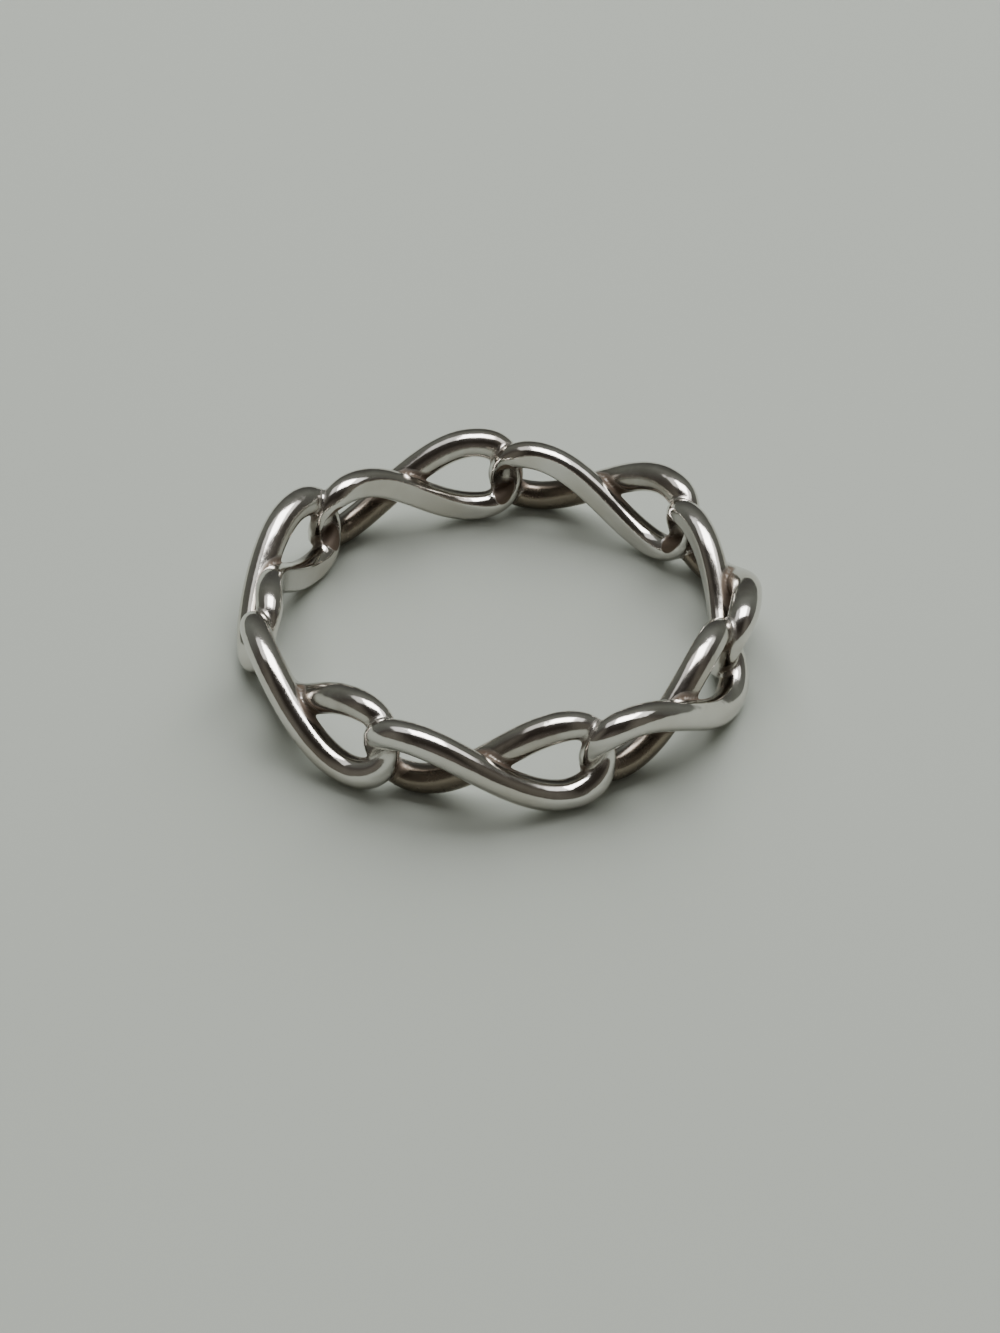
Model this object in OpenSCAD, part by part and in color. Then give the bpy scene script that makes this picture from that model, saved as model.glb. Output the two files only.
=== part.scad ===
// Woven infinity band: a finger ring cast in one piece as a row of figure-eight links.
// Sizes in mm. The ring lies on its side, its axis along +Z, standing on Z = 0.
// Seen from outside, the strand that falls from left to right lies on the outside of
// each link and the strand that rises lies on the finger side, cut flat by the bore.
// Where two links hook into each other, a dark hollow called the eye opens to the finger
// between the two hooks. It doesn't reach the outside.

/* [Band] */
// inside diameter, the finger bore
finger_d = 17.3; // [15:0.1:21]
// height of the band along the finger
band_height = 3.95; // [3.4:0.05:4.8]
// number of figure-eight links round the band
link_count = 7; // [6:1:8]

/* [Wire] */
// diameter of the round wire of a strand
wire_d = 1.23; // [1.0:0.01:1.4]
// diameter of the wire where it turns at a link end, as a share of wire_d
end_share = 0.68; // [0.6:0.01:0.9]
// how deep the bore cuts into the inner strand where two strands cross
flat_depth = 0.16; // [0.06:0.01:0.3]

/* [Weave] */
// radial step from the inner strand to the outer strand where they cross
weave_step = 0.98; // [0.75:0.01:1.15]
// how far the outer edges of two neighbouring links reach past each other
link_overlap = 1.54; // [1.2:0.01:1.8]
// how far the crest of a lobe is drawn toward the middle of the link, as a share
crest_shift = 0.1; // [0:0.01:0.2]
// how suddenly a strand passes from the finger side to the outside at a link end
turn_rate = 1.2; // [0.4:0.1:2]

/* [Eye] */
// width of the hollow between two hooks, along the band
eye_w = 1.05; // [0.85:0.05:1.2]
// height of the hollow, along the finger
eye_h = 2.2; // [1.8:0.05:2.5]
// how far the hollow reaches outward from the bore
eye_depth = 1.05; // [0.8:0.05:1.15]
// how far the hollow leans, in degrees
eye_lean = 9; // [0:1:18]
// diameter of the thin lip of a hook at its end, as a share of wire_d
lip_share = 0.3; // [0.24:0.01:0.4]

/* [Hidden] */

// where two strands cross, the bore cuts its full depth into the inner one
mean_r = finger_d / 2 - flat_depth + wire_d / 2 + weave_step / 2;
pitch_angle = 360 / link_count;
pitch = 2 * PI * mean_r / link_count;
end_r = wire_d * end_share / 2;
lip_r = wire_d * lip_share / 2;
// the lobes rise as sin(2t) - crest_shift * sin(4t), and crest where its slope is zero:
// 8 * crest_shift * x^2 - 2 * x - 4 * crest_shift = 0 with x = cos(2t)
crest_cos = -8 * crest_shift / (2 + sqrt(4 + 128 * pow(crest_shift, 2)));
crest_t = acos(crest_cos) / 2;
crest_gain = sin(2 * crest_t) - crest_shift * sin(4 * crest_t);
lobe_amp = (band_height - wire_d) / 2 / crest_gain;
mid_z = band_height / 2;
// the front of the ring, -Y, faces the middle of a link
front_angle = -90;
// how far the bore's cutter reaches past the band on both sides
cut_past = 1;
bore_fn = 160;
// the eye is the part of an ellipsoid that lies outside the bore, with this share of its
// depth between the bore and the middle of the ellipsoid
eye_sunk = 0.25;
eye_mid_r = finger_d / 2 + eye_sunk * eye_depth;
eye_fn = 12;

// the strands are tubes with this many sides and, from a link end to the first crest
// and from crest to crest, this many stretches
sides = 12;
end_steps = 8;
mid_steps = 7;
// the same for a lip, which runs from a link end to the turn where it is as thick as its
// strand, and starts a little before the end so that it is rooted in the metal
lip_sides = 8;
lip_steps = 5;
lip_turn = 35;
lip_root = -8;
// half the turn over which the direction of a strand is measured, in degrees
half_turn = 0.5;
strand_turns = concat(
    [for (i = [0 : end_steps - 1]) crest_t * i / end_steps],
    [for (i = [0 : mid_steps - 1]) crest_t + (180 - 2 * crest_t) * i / mid_steps],
    [for (i = [0 : end_steps]) 180 - crest_t + crest_t * i / end_steps]
);
lip_turns = [for (i = [0 : lip_steps]) lip_root + (lip_turn - lip_root) * i / lip_steps];
// how quickly a strand and a lip thin toward a link end on the finger side
strand_taper = 3;
lip_taper = 7;

SILVER = [0.83, 0.82, 0.79];

function tanh(x) = (exp(x) - exp(-x)) / (exp(x) + exp(-x));
function unit(v) = v / norm(v);
// A link is one closed curve, followed by a turn t from 0 to 360: the inner strand from
// 0 to 180 and the outer strand from there on. These give its place along the band, up
// from the middle of the band, and outward from the mean radius.
// A wire that is thinner where it turns at a link end reaches further along the band, so
// that its outer edge stays in place.
function along(t, turn_r) = ((pitch + link_overlap) / 2 - turn_r) * cos(t);
function up(t) = lobe_amp * (sin(2 * t) - crest_shift * sin(4 * t));
function outward(t) = -weave_step / 2 * tanh(turn_rate * sin(t)) / tanh(turn_rate);
// the wire thins toward a link end, over a longer way on the finger side
function end_part(t, taper) =
    sin(t) > 0 ? pow(abs(cos(t)), taper) : pow(max(0, 2 * pow(cos(t), 2) - 1), 2);
function wire_r(t, turn_r, taper) = wire_d / 2 - (wire_d / 2 - turn_r) * end_part(t, taper);
function centre(t, turn_r) =
    let (a = along(t, turn_r) / mean_r * 180 / PI, r = mean_r + outward(t))
    [r * cos(a), r * sin(a), mid_z + up(t)];
function ring_points(t, turn_r, taper, n) =
    let (
        c = centre(t, turn_r),
        dir = unit(centre(t + half_turn, turn_r) - centre(t - half_turn, turn_r)),
        level_out = unit([c[0], c[1], 0]),
        out = unit(level_out - dir * (level_out * dir)),
        side = cross(dir, out)
    )
    [for (k = [0 : n - 1])
        c + wire_r(t, turn_r, taper) * (cos(360 * k / n) * out + sin(360 * k / n) * side)];

// A wire through a list of turns, closed at both ends by a fan of triangles.
module wire(turns, turn_r, taper, n) {
    last = len(turns) - 1;
    points = concat(
        [for (t = turns) each ring_points(t, turn_r, taper, n)],
        [centre(turns[0], turn_r), centre(turns[last], turn_r)]
    );
    first_mid = (last + 1) * n;
    last_mid = first_mid + 1;
    walls = [for (i = [0 : last - 1], k = [0 : n - 1])
        let (a = i * n + k, b = i * n + (k + 1) % n)
        each [[a, a + n, b + n], [a, b + n, b]]];
    start_fan = [for (k = [0 : n - 1]) [first_mid, k, (k + 1) % n]];
    end_fan = [for (k = [0 : n - 1]) [last_mid, last * n + (k + 1) % n, last * n + k]];
    polyhedron(points, concat(walls, start_fan, end_fan), convexity = 6);
}

// One strand of a link, from one link end to the other. The two strands of a link
// share the ring of points and the closing fan at each link end.
module strand(start) {
    wire([for (t = strand_turns) start + t], end_r, strand_taper, sides);
}

// The thin lips that edge the eyes at both ends of a link, on the finger side.
module lips() {
    wire(lip_turns, lip_r, lip_taper, lip_sides);
    wire([for (i = [0 : lip_steps]) 180 - lip_turns[lip_steps - i]], lip_r, lip_taper, lip_sides);
}

module eye() {
    translate([eye_mid_r, 0, mid_z])
        rotate([eye_lean, 0, 0])
            scale([(1 - eye_sunk) * eye_depth, eye_w / 2, eye_h / 2])
                sphere(r = 1, $fn = eye_fn);
}

module infinity_band() {
    color(SILVER)
    difference() {
        union() {
            difference() {
                for (i = [0 : link_count - 1]) {
                    rotate([0, 0, front_angle + i * pitch_angle]) {
                        strand(0);
                        strand(180);
                    }
                }
                for (i = [0 : link_count - 1]) {
                    rotate([0, 0, front_angle + (i + 0.5) * pitch_angle]) eye();
                }
            }
            for (i = [0 : link_count - 1]) {
                rotate([0, 0, front_angle + i * pitch_angle]) lips();
            }
        }
        translate([0, 0, -cut_past])
            cylinder(d = finger_d, h = band_height + 2 * cut_past, $fn = bore_fn);
    }
}

infinity_band();
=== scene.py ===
"""Infinity ring in polished silver: its finished surface, the floor, the light and the camera.

The ring is one casting. Its smooth surface is worked out from the centreline of one
figure-eight link, as the skin at one wire radius round that line. Where strands meet, the
skin runs over in a narrow fillet. Where two links hook into each other, a dark hollow called
the eye opens to the finger, edged by the thin lips of the two hooks. The finger bore cuts
the inner strands flat.
"""

import bpy
import numpy as np
from mathutils import Matrix, Vector


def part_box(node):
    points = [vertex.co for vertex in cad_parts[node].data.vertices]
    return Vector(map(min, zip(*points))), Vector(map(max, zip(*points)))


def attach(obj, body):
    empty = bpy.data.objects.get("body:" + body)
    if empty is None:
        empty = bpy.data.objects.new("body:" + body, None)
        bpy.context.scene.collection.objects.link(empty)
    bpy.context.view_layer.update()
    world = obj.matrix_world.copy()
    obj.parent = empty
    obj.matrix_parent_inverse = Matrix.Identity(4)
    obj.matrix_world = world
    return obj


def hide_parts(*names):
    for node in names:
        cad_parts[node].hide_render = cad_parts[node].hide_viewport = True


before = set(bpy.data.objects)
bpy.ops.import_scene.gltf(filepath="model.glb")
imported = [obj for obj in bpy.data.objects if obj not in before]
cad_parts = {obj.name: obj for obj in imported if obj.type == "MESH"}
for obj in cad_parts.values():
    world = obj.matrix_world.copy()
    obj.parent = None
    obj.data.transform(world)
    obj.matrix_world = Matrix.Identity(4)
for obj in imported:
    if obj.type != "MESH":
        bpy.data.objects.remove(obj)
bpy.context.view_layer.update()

NODE = "infinity_band"
MM = 0.001

# sizes of the ring in millimetres
low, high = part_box(NODE)
BAND_HEIGHT = (high.z - low.z) / MM
FINGER_D = 17.3
LINK_COUNT = 7
WIRE_D = 1.23
END_SHARE = 0.68
STRAND_TAPER = 3
FLAT_DEPTH = 0.16
WEAVE_STEP = 0.98
LINK_OVERLAP = 1.54
CREST_SHIFT = 0.1
TURN_RATE = 1.2
EYE_W = 1.05
EYE_H = 2.2
EYE_DEPTH = 1.05
EYE_LEAN = np.radians(9)
LIP_SHARE = 0.3
LIP_TAPER = 7
FRONT_ANGLE = np.radians(-90)
# the edges of the bored flat and of the eyes are polished round over these widths
EDGE_W = 0.06
EYE_EDGE_W = 0.12
LIP_FILLET = 0.08
LIP_FADE = 0.1
# how tightly the skin follows two strands into the groove between them, per millimetre
GROOVE_RATE = 13.0

# the grid on which the skin is found, and how deep a filled corner of it lies
CELL = 0.1
PINCH_FILL = 0.001
LINE_POINTS = 360
# points are worked on in blocks of this many
BLOCK = 20000
# a step onto the skin never takes the squared slope as less than this
LEAST_SLOPE = 0.2

# how far out the surface looks for other metal, and what each look counts
POCKET_LOOKS = ((0.2, 0.4), (0.45, 0.35), (0.9, 0.25))
# the reaches across the hole of a lobe, and how near the metal there counts
WALL_REACHES = (1.2, 1.8, 2.4)
WALL_NEAR = 0.9
# the height over which a strand's hidden side fades, as painted shade darker lower down, and what
# stays at the top
HIDDEN_FADE = 1.2
HIDDEN_LEAST = 0.1

WIRE_R = WIRE_D / 2
END_R = WIRE_R * END_SHARE
LIP_R = WIRE_R * LIP_SHARE
BORE_R = FINGER_D / 2
MEAN_R = BORE_R - FLAT_DEPTH + WIRE_R + WEAVE_STEP / 2
PITCH_ANGLE = 2 * np.pi / LINK_COUNT
PITCH = MEAN_R * PITCH_ANGLE
LINK_REACH = PITCH + LINK_OVERLAP
CREST_TURN = np.arccos(-8 * CREST_SHIFT / (2 + np.sqrt(4 + 128 * CREST_SHIFT**2))) / 2
CREST_GAIN = np.sin(2 * CREST_TURN) - CREST_SHIFT * np.sin(4 * CREST_TURN)
LOBE_AMP = (BAND_HEIGHT - WIRE_D) / 2 / CREST_GAIN
# the eye is the part of an ellipsoid that lies outside the bore, with this share of its
# depth between the bore and the middle of the ellipsoid
EYE_SUNK = 0.25
EYE_MID_R = BORE_R + EYE_SUNK * EYE_DEPTH
EYE_HALF = np.array([(1 - EYE_SUNK) * EYE_DEPTH, EYE_W / 2, EYE_H / 2])


def link_line(turn, end_r):
    """The centreline of a link: along the band, up from its middle, and the radius."""
    along = (LINK_REACH / 2 - end_r) * np.cos(turn)
    up = LOBE_AMP * (np.sin(2 * turn) - CREST_SHIFT * np.sin(4 * turn))
    out = -WEAVE_STEP / 2 * np.tanh(TURN_RATE * np.sin(turn)) / np.tanh(TURN_RATE)
    return along, up, MEAN_R + out


def radius_lost(turn, end_r, taper):
    """What the wire's radius loses toward a link end, over a longer way on the finger side."""
    outer = np.maximum(0, np.cos(2 * turn)) ** 2
    inner = np.abs(np.cos(turn)) ** taper
    return (WIRE_R - end_r) * np.where(np.sin(turn) > 0, inner, outer)


def line_points(end_r, taper):
    """Evenly spaced points on the centrelines of a link and both its neighbours."""
    fine = np.linspace(0, 2 * np.pi, 4001)
    step = np.linalg.norm(np.diff(np.stack(link_line(fine, end_r)), axis=1), axis=0)
    run = np.concatenate([[0], np.cumsum(step)])
    turn = np.interp(np.arange(LINE_POINTS) * run[-1] / LINE_POINTS, run, fine)
    along, up, radius = link_line(turn, end_r)
    points = []
    for neighbour in (-1, 0, 1):
        angle = along / MEAN_R + neighbour * PITCH_ANGLE
        points.append(np.stack([radius * np.cos(angle), radius * np.sin(angle), up], 1))
    loss = np.tile(radius_lost(turn, end_r, taper), 3)
    return np.concatenate(points), loss, run[-1] / LINE_POINTS


STRANDS = line_points(END_R, STRAND_TAPER)
LIPS = line_points(LIP_R, LIP_TAPER)


def soft_distance(points, wires):
    """Distance to the skin of the wires, which runs over from one to the next in a fillet.

    The wires are points on their centrelines, the radius lost there and the points' spacing.
    """
    line, loss, step = wires
    away = np.arange(-LINE_POINTS, LINE_POINTS + 1) * step
    straight = np.exp(-GROOVE_RATE * (np.hypot(WIRE_R, away) - WIRE_R)).sum() * step
    level = WIRE_R - np.log(straight) / GROOVE_RATE
    out = np.empty(len(points))
    line_sq = (line**2).sum(1)
    for i in range(0, len(points), BLOCK):
        part = points[i : i + BLOCK]
        sq = (part**2).sum(1)[:, None] + line_sq - 2 * part @ line.T
        dist = np.sqrt(np.maximum(sq, 0)) + loss
        near = dist.min(1)
        spread = np.exp(-GROOVE_RATE * (dist - near[:, None])).sum(1) * step
        out[i : i + BLOCK] = near - np.log(spread) / GROOVE_RATE - level
    return out


def cut_round(value, cut, width):
    """The larger of two distances, rounded over where they are equal."""
    edge = np.maximum(width - np.abs(value - cut), 0) / width
    return np.maximum(value, cut) + edge**2 * width / 4


def in_eye(points):
    """How deep a point lies in the hollow between two link ends, negative outside it."""
    radius = np.hypot(points[:, 0], points[:, 1])
    angle = np.arctan2(points[:, 1], points[:, 0]) / PITCH_ANGLE - 0.5
    angle = (angle - np.round(angle)) * PITCH_ANGLE
    along, up = radius * np.sin(angle), points[:, 2]
    place = np.stack(
        [
            radius * np.cos(angle) - EYE_MID_R,
            along * np.cos(EYE_LEAN) + up * np.sin(EYE_LEAN),
            up * np.cos(EYE_LEAN) - along * np.sin(EYE_LEAN),
        ],
        1,
    )
    near = np.linalg.norm(place / EYE_HALF, axis=1)
    return near * (1 - near) / np.maximum(np.linalg.norm(place / EYE_HALF**2, axis=1), 1e-6)


def metal(points):
    """Soft distance to the skin of the ring, negative inside the metal."""
    eye = in_eye(points)
    out = cut_round(soft_distance(points, STRANDS), eye, EYE_EDGE_W)
    # the lips' fillet fades out away from the eye
    fillet = LIP_FILLET * np.clip(0.5 + eye / LIP_FADE, 0.01, 1)
    out = -cut_round(-out, -soft_distance(points, LIPS), fillet)
    return cut_round(out, BORE_R - np.hypot(points[:, 0], points[:, 1]), EDGE_W)


def slope(points, reach=0.004):
    """The gradient of metal()."""
    out = np.empty_like(points)
    for axis in range(3):
        shift = np.zeros(3)
        shift[axis] = reach
        out[:, axis] = (metal(points + shift) - metal(points - shift)) / (2 * reach)
    return out


def fill_pinches(value):
    """Fills a corner of each grid square whose metal only meets across its diagonal."""
    filled = 1
    while filled:
        filled = 0
        for a, b in ((0, 1), (0, 2), (1, 2)):
            inside = value < 0
            beside = np.roll(inside, -1, a)
            above = np.roll(inside, -1, b)
            across = np.roll(beside, -1, b)
            pinch = (inside == across) & (beside == above) & (inside != beside)
            fill = (pinch & ~inside) | np.roll(pinch & inside, 1, a)
            value[fill] = -PINCH_FILL
            filled += fill.sum()
    return value


def skin_grid():
    """A grid of angle, height and radius over one pitch, and the values of metal() on it."""
    margin = 3 * CELL
    top = BAND_HEIGHT / 2 + margin
    outer = MEAN_R + WEAVE_STEP / 2 + WIRE_R + margin
    n_angle = round(PITCH / CELL)
    angle = (np.arange(n_angle) / n_angle - 0.5) * PITCH_ANGLE
    up = np.linspace(-top, top, round(2 * top / CELL))
    radius = np.linspace(BORE_R - margin, outer, round((outer - BORE_R + margin) / CELL))
    a, u, r = np.meshgrid(angle, up, radius, indexing="ij")
    points = np.stack([r * np.cos(a), r * np.sin(a), u], -1).reshape(-1, 3)
    return angle, up, radius, fill_pinches(metal(points).reshape(a.shape))


def skin_cells(value):
    """The number and place, in grid units, of each cell's vertex where the skin passes."""
    n_angle, n_up, n_radius = value.shape
    ring = np.concatenate([value, value[:1]])
    inside = ring < 0
    corners = [(a, b, c) for a in (0, 1) for b in (0, 1) for c in (0, 1)]
    count = sum(
        inside[a : a + n_angle, b : b + n_up - 1, c : c + n_radius - 1].astype(int)
        for a, b, c in corners
    )
    active = (count > 0) & (count < 8)
    number = np.full(active.shape, -1)
    number[active] = np.arange(active.sum())
    cell = np.argwhere(active)
    total = np.zeros(cell.shape)
    crossings = np.zeros(len(cell))
    for first in corners:
        for axis in range(3):
            if first[axis]:
                continue
            second = list(first)
            second[axis] = 1
            v1 = ring[tuple((cell + first).T)]
            v2 = ring[tuple((cell + second).T)]
            crossed = (v1 < 0) != (v2 < 0)
            share = np.where(crossed, v1 / np.where(crossed, v1 - v2, 1), 0)
            place = np.tile(np.array(first, float), (len(cell), 1))
            place[:, axis] = share
            total += np.where(crossed[:, None], place, 0)
            crossings += crossed
    return number, inside, cell + total / crossings[:, None]


def skin_quads(number, inside):
    """The quads between the cells round each crossed grid edge, and each corner's period."""
    n_angle = len(number)
    quads = []
    periods = []
    for axis in range(3):
        others = [a for a in range(3) if a != axis]
        low_end = inside[:n_angle]
        high_end = inside[1:] if axis == 0 else np.roll(low_end, -1, axis)
        crossed = low_end != high_end
        if axis == 1:
            crossed[:, -1] = False
        if axis == 2:
            crossed[:, :, -1] = False
        crossed[:, 0] &= axis == 1
        crossed[:, -1] &= axis == 1
        crossed[:, :, 0] &= axis == 2
        crossed[:, :, -1] &= axis == 2
        edge = np.argwhere(crossed)
        corners = []
        wraps = []
        for back in ((1, 1), (0, 1), (0, 0), (1, 0)):
            cell = edge.copy()
            cell[:, others[0]] -= back[0]
            cell[:, others[1]] -= back[1]
            wraps.append(np.where(cell[:, 0] < 0, -1, 0))
            cell[:, 0] %= n_angle
            corners.append(number[tuple(cell.T)])
        quad = np.stack(corners, 1)
        wrap = np.stack(wraps, 1)
        turned = ~low_end[tuple(edge.T)] ^ (axis == 1)
        quad[turned] = quad[turned][:, ::-1]
        wrap[turned] = wrap[turned][:, ::-1]
        quads.append(quad)
        periods.append(wrap)
    return np.concatenate(quads), np.concatenate(periods)


def pocket(points, normals):
    """How shut in the surface is by other metal, from 0 in the open to 1 in a groove."""
    shut = np.zeros(len(points))
    for reach, weight in POCKET_LOOKS:
        room = metal(points + normals * reach) / reach
        shut += weight * (1 - np.clip(room, 0, 1))
    # the eye always counts as fully shut in, so it takes the full tarnish and painted shade
    return np.maximum(shut, np.clip(0.3 + in_eye(points) / 0.15, 0, 1))


def faces_metal(points, normals):
    """How squarely the surface faces metal across the hole of a lobe, from 0 to 1."""
    facing = np.zeros(len(points))
    for reach in WALL_REACHES:
        room = metal(points + normals * reach) / WALL_NEAR
        facing = np.maximum(facing, 1 - np.clip(room, 0, 1))
    return facing


def on_wire(points, normals):
    """How far each point lies from a link end, and how it is hidden low behind a strand."""
    line, _, step = STRANDS
    side = (np.hypot(line[:, 0], line[:, 1]) - MEAN_R) / (WEAVE_STEP / 2)
    nearest = np.concatenate(
        [
            ((line**2).sum(1) - 2 * points[i : i + BLOCK] @ line.T).argmin(1)
            for i in range(0, len(points), BLOCK)
        ]
    )
    radius = np.hypot(points[:, 0], points[:, 1])
    outward = (points[:, :2] * normals[:, :2]).sum(1) / radius
    # lower points count more: painted shade that darkens the hidden sides of lower strands
    low_down = np.clip(0.5 - points[:, 2] / HIDDEN_FADE, HIDDEN_LEAST, 1)
    from_start = nearest % LINE_POINTS
    along = np.minimum(from_start, LINE_POINTS - from_start) * step
    return along, -outward * side[nearest] * low_down


def ring_surface():
    """Vertices, normals, quads and surface marks of the whole ring, in millimetres."""
    angle, up, radius, value = skin_grid()
    number, inside, spot = skin_cells(value)
    turn = angle[0] + spot[:, 0] * (angle[1] - angle[0])
    height = up[0] + spot[:, 1] * (up[1] - up[0])
    reach = radius[0] + spot[:, 2] * (radius[1] - radius[0])
    points = np.stack([reach * np.cos(turn), reach * np.sin(turn), height], 1)
    for _ in range(2):
        grad = slope(points)
        steep = np.maximum((grad**2).sum(1), LEAST_SLOPE)
        points -= grad * (metal(points) / steep)[:, None]
    normals = slope(points)
    normals /= np.linalg.norm(normals, axis=1, keepdims=True)
    marks = {"pocket": pocket(points, normals), "hole_wall": faces_metal(points, normals)}
    marks["along"], marks["hidden_side"] = on_wire(points, normals)
    quads, periods = skin_quads(number, inside)
    all_points = []
    all_normals = []
    all_quads = []
    for i in range(LINK_COUNT):
        a = FRONT_ANGLE + i * PITCH_ANGLE
        spin = np.array([[np.cos(a), np.sin(a), 0], [-np.sin(a), np.cos(a), 0], [0, 0, 1]])
        all_points.append(points @ spin)
        all_normals.append(normals @ spin)
        all_quads.append(quads + (i + periods) % LINK_COUNT * len(points))
    all_points = np.concatenate(all_points)
    all_points[:, 2] += BAND_HEIGHT / 2
    return (
        all_points,
        np.concatenate(all_normals),
        np.concatenate(all_quads),
        {name: np.tile(values, LINK_COUNT) for name, values in marks.items()},
    )


def make_ring():
    points, normals, quads, marks = ring_surface()
    mesh = bpy.data.meshes.new("ring_casting")
    mesh.from_pydata((points * MM).tolist(), [], quads.tolist())
    mesh.polygons.foreach_set("use_smooth", [True] * len(mesh.polygons))
    for name, values in marks.items():
        mesh.attributes.new(name, "FLOAT", "POINT").data.foreach_set("value", values)
    mesh.normals_split_custom_set_from_vertices(normals.tolist())
    ring = bpy.data.objects.new("ring_casting", mesh)
    bpy.context.scene.collection.objects.link(ring)
    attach(ring, "root")
    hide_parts(NODE)
    return ring


def new_material(name):
    material = bpy.data.materials.new(name)
    material.use_nodes = True
    nodes = material.node_tree.nodes
    return material, nodes, material.node_tree.links, nodes["Principled BSDF"]


def node(nodes, kind, **values):
    made = nodes.new(kind)
    for key, value in values.items():
        setattr(made, key, value)
    return made


def noise(nodes, links, source, per_mm, detail=3.0, roughness=0.5):
    """A noise texture in object space, with its scale in features per millimetre."""
    made = nodes.new("ShaderNodeTexNoise")
    made.inputs["Scale"].default_value = per_mm / MM
    made.inputs["Detail"].default_value = detail
    made.inputs["Roughness"].default_value = roughness
    links.new(source, made.inputs["Vector"])
    return made.outputs["Fac"]


def ramp(nodes, links, source, stops):
    """A colour ramp through (position, grey or colour) stops."""
    made = nodes.new("ShaderNodeValToRGB")
    elements = made.color_ramp.elements
    while len(elements) < len(stops):
        elements.new(0.5)
    for element, (position, colour) in zip(elements, stops):
        element.position = position
        element.color = (*colour, 1) if isinstance(colour, tuple) else (colour,) * 3 + (1,)
    links.new(source, made.inputs["Fac"])
    return made.outputs["Color"]


def mix_colour(nodes, links, factor, a, b, blend="MIX"):
    made = node(nodes, "ShaderNodeMix", data_type="RGBA", blend_type=blend)
    for socket, value in ((made.inputs[0], factor), (made.inputs[6], a), (made.inputs[7], b)):
        if hasattr(value, "is_output"):
            links.new(value, socket)
        else:
            socket.default_value = value
    return made.outputs[2]


def math_node(nodes, links, operation, *values):
    made = node(nodes, "ShaderNodeMath", operation=operation)
    for socket, value in zip(made.inputs, values):
        if hasattr(value, "is_output"):
            links.new(value, socket)
        else:
            socket.default_value = value
    return made.outputs[0]


# the tones of the metal, from polished to tarnished; the darker ones are also used as painted shade
BRIGHT_SILVER = (0.70, 0.68, 0.645, 1)
WARM_SILVER = (0.60, 0.57, 0.52, 1)
BROWN_SILVER = (0.21, 0.17, 0.125, 1)
SHADED_WALL_SILVER = (0.12, 0.10, 0.08, 1)
TARNISH_AND_SHADE = (0.15, 0.108, 0.075, 1)
# fine polishing streaks across the wire
STREAKS_PER_MM = 4.0


def silver():
    """Polished silver, warmer in patches and worn; browner on unpolished hidden sides, with tarnish
    and painted shade in its grooves and eyes and painted shade on hole walls and low strands.
    """
    material, nodes, links, shader = new_material("polished_silver")
    place = nodes.new("ShaderNodeTexCoord").outputs["Object"]
    shut = node(nodes, "ShaderNodeAttribute", attribute_name="pocket").outputs["Fac"]
    wall = node(nodes, "ShaderNodeAttribute", attribute_name="hole_wall").outputs["Fac"]
    along = node(nodes, "ShaderNodeAttribute", attribute_name="along").outputs["Fac"]
    hidden = node(nodes, "ShaderNodeAttribute", attribute_name="hidden_side").outputs["Fac"]
    patches = ramp(nodes, links, noise(nodes, links, place, 0.35), ((0.4, 0.0), (0.65, 1.0)))
    metal_tone = mix_colour(nodes, links, patches, BRIGHT_SILVER, WARM_SILVER)
    grain = noise(nodes, links, place, 1.3, detail=4.0)
    # tarnish with painted shade: the more other metal shuts the surface in, in grooves and the
    # eyes, the darker, browner and less metallic it turns
    spread = math_node(nodes, links, "MULTIPLY_ADD", grain, 0.25, shut)
    dark = ramp(nodes, links, spread, ((0.40, 0.0), (0.72, 1.0)))
    # unpolished hidden sides of strands turn brown; their fade with height paints shade, darker on
    # lower strands
    unpolished_low_shade = math_node(nodes, links, "MULTIPLY_ADD", grain, 0.3, hidden)
    unpolished_low_shade = ramp(nodes, links, unpolished_low_shade, ((0.1, 0.0), (0.55, 0.9)))
    metal_tone = mix_colour(nodes, links, unpolished_low_shade, metal_tone, BROWN_SILVER)
    # painted shade: where the surface faces metal across a lobe's hole, its colour is darkened
    wall_shade = math_node(nodes, links, "MULTIPLY_ADD", grain, 0.3, wall)
    wall_shade = ramp(nodes, links, wall_shade, ((0.45, 0.0), (1.0, 0.85)))
    metal_tone = mix_colour(nodes, links, wall_shade, metal_tone, SHADED_WALL_SILVER)
    links.new(mix_colour(nodes, links, dark, metal_tone, TARNISH_AND_SHADE), shader.inputs["Base Color"])
    links.new(math_node(nodes, links, "MULTIPLY_ADD", dark, -0.7, 1.0), shader.inputs["Metallic"])
    worn = noise(nodes, links, place, 2.2, detail=5.0, roughness=0.6)
    rough = math_node(nodes, links, "MULTIPLY_ADD", worn, 0.1, 0.07)
    rough = math_node(nodes, links, "MULTIPLY_ADD", unpolished_low_shade, 0.16, rough)
    rough = math_node(nodes, links, "MULTIPLY_ADD", dark, 0.5, rough)
    links.new(rough, shader.inputs["Roughness"])
    ripple = noise(nodes, links, place, 1.1, detail=2.0)
    scratches = noise(nodes, links, place, 14.0, detail=3.0, roughness=0.7)
    streaks = node(nodes, "ShaderNodeTexNoise", noise_dimensions="1D")
    streaks.inputs["Scale"].default_value = STREAKS_PER_MM
    streaks.inputs["Detail"].default_value = 3.0
    links.new(along, streaks.inputs["W"])
    relief = math_node(nodes, links, "MULTIPLY_ADD", scratches, 0.08, ripple)
    relief = math_node(nodes, links, "MULTIPLY_ADD", streaks.outputs["Fac"], 0.05, relief)
    bump = nodes.new("ShaderNodeBump")
    bump.inputs["Strength"].default_value = 0.5
    bump.inputs["Distance"].default_value = 0.03 * MM
    links.new(relief, bump.inputs["Height"])
    links.new(bump.outputs["Normal"], shader.inputs["Normal"])
    return material


FLOOR_TONE = (0.59, 0.63, 0.57, 1)
FLOOR_SHADE = (0.55, 0.59, 0.53, 1)


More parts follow.
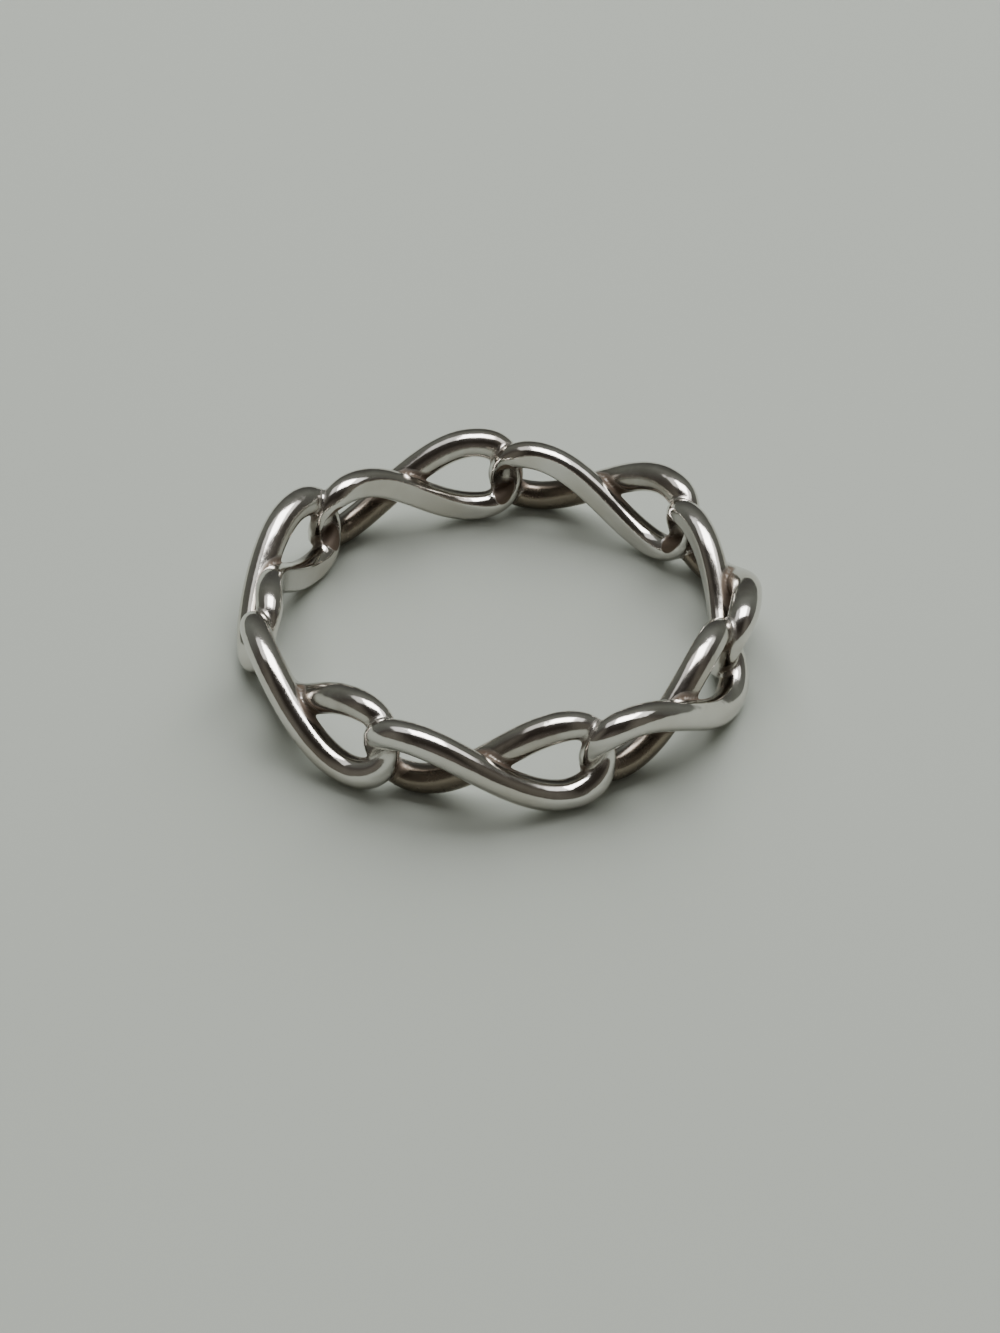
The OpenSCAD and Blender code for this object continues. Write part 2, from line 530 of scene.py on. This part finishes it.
def floor_material():
    """A plain matt pale grey surface with a faint unevenness."""
    material, nodes, links, shader = new_material("pale_surface")
    place = nodes.new("ShaderNodeTexCoord").outputs["Object"]
    cloud = noise(nodes, links, place, 0.02, detail=2.0)
    links.new(mix_colour(nodes, links, cloud, FLOOR_TONE, FLOOR_SHADE), shader.inputs["Base Color"])
    shader.inputs["Roughness"].default_value = 0.7
    shader.inputs["Specular IOR Level"].default_value = 0.25
    return material


FLOOR_HALF = 1.5


def make_floor():
    half = FLOOR_HALF
    mesh = bpy.data.meshes.new("floor")
    corners = [(-half, -half, 0), (half, -half, 0), (half, half, 0), (-half, half, 0)]
    mesh.from_pydata(corners, [], [(0, 1, 2, 3)])
    mesh.materials.append(floor_material())
    floor = bpy.data.objects.new("floor", mesh)
    bpy.context.scene.collection.objects.link(floor)


# the camera, as the photograph was taken
PHOTO_W, PHOTO_H = 1000, 1333
FOCAL_PX = 3494.5
RING_AT_PX = (497.7, 612.5)
CAMERA_DISTANCE = 141.8 * MM
CAMERA_ELEVATION = np.radians(39.13)
CAMERA_ROLL = np.radians(-0.41)
# the camera stands this far round from the front, toward +X
CAMERA_TURN = np.radians(2.28)
SENSOR_W = 36.0


def make_camera():
    sin_e, cos_e = np.sin(CAMERA_ELEVATION), np.cos(CAMERA_ELEVATION)
    sin_t, cos_t = np.sin(CAMERA_TURN), np.cos(CAMERA_TURN)
    sin_r, cos_r = np.sin(CAMERA_ROLL), np.cos(CAMERA_ROLL)
    ahead = Vector((-cos_e * sin_t, cos_e * cos_t, -sin_e))
    level = Vector((cos_t, sin_t, 0))
    upright = level.cross(ahead)
    right = level * cos_r + upright * sin_r
    up = upright * cos_r - level * sin_r
    per_px = CAMERA_DISTANCE / FOCAL_PX
    aside = (RING_AT_PX[0] - PHOTO_W / 2) * per_px
    above = (PHOTO_H / 2 - RING_AT_PX[1]) * per_px
    middle = Vector((0, 0, BAND_HEIGHT / 2 * MM))
    place = middle - ahead * CAMERA_DISTANCE - right * aside - up * above
    data = bpy.data.cameras.new("camera")
    data.sensor_fit = "HORIZONTAL"
    data.sensor_width = SENSOR_W
    data.lens = FOCAL_PX / PHOTO_W * SENSOR_W
    data.clip_start = 0.01
    data.clip_end = 20.0
    camera = bpy.data.objects.new("camera", data)
    columns = (right, up, -ahead, place)
    camera.matrix_world = Matrix([[c[i] for c in columns] for i in range(3)] + [(0, 0, 0, 1)])
    bpy.context.scene.collection.objects.link(camera)
    bpy.context.scene.camera = camera


def make_panel(name, place, size, radiance):
    """A ceiling panel that faces straight down and shows only in the metal."""
    data = bpy.data.lights.new(name, "AREA")
    data.shape = "RECTANGLE"
    data.size, data.size_y = size
    data.energy = radiance * np.pi * size[0] * size[1]
    panel = bpy.data.objects.new(name, data)
    panel.location = place
    panel.visible_diffuse = False
    bpy.context.scene.collection.objects.link(panel)


def make_soft_light(name, direction, distance, size, watts):
    """A soft light that only lights the floor and casts the shadows on it."""
    data = bpy.data.lights.new(name, "AREA")
    data.size = size
    data.energy = watts
    light = bpy.data.objects.new(name, data)
    light.location = Vector(direction).normalized() * distance
    light.rotation_euler = light.location.to_track_quat("Z", "Y").to_euler()
    light.visible_glossy = False
    bpy.context.scene.collection.objects.link(light)


# the room, as tones from behind the camera through overhead to straight ahead
WALL_TONES = (
    (0.0, (0.13, 0.115, 0.10)),
    (0.04, (0.09, 0.08, 0.07)),
    (0.10, (0.034, 0.029, 0.024)),
    (0.36, (0.028, 0.023, 0.019)),
    (0.43, (0.12, 0.12, 0.11)),
    (0.58, (0.22, 0.22, 0.21)),
    (0.82, (0.19, 0.20, 0.18)),
    (1.0, (0.08, 0.08, 0.075)),
)
# the same at the sides
SIDE_TONES = (
    (0.0, (0.14, 0.13, 0.11)),
    (0.30, (0.15, 0.14, 0.12)),
    (0.45, (0.08, 0.072, 0.065)),
    (0.55, (0.12, 0.12, 0.11)),
    (0.82, (0.17, 0.18, 0.16)),
    (1.0, (0.08, 0.08, 0.075)),
)
CEILING_AT = 0.6


def make_lights():
    z = CEILING_AT
    make_panel("panel_main", (0.09, 0.03, z), (0.44, 0.31), 12.0)
    make_panel("panel_left", (-0.30, 0.05, z), (0.30, 0.34), 1.1)
    make_panel("panel_right", (0.48, 0.05, z), (0.32, 0.34), 1.8)
    make_soft_light("key", (0.12, 0.66, 0.74), 0.6, 0.8, 5.9)
    make_soft_light("fill", (-0.1, -0.5, 0.86), 0.6, 0.8, 0.4)
    world = bpy.data.worlds.new("room")
    bpy.context.scene.world = world
    world.use_nodes = True
    nodes, links = world.node_tree.nodes, world.node_tree.links
    direction = nodes.new("ShaderNodeTexCoord").outputs["Generated"]
    part = nodes.new("ShaderNodeSeparateXYZ")
    links.new(direction, part.inputs[0])
    depth = math_node(nodes, links, "MULTIPLY_ADD", part.outputs["Y"], 0.5, 0.5)
    walls = ramp(nodes, links, depth, WALL_TONES)
    sides = ramp(nodes, links, depth, SIDE_TONES)
    aside = math_node(nodes, links, "ABSOLUTE", part.outputs["X"])
    aside = ramp(nodes, links, aside, ((0.4, 0.0), (0.72, 1.0)))
    links.new(mix_colour(nodes, links, aside, walls, sides), nodes["Background"].inputs["Color"])
    nodes["Background"].inputs["Strength"].default_value = 1.0


ring = make_ring()
ring.data.materials.append(silver())
make_floor()
make_lights()
make_camera()
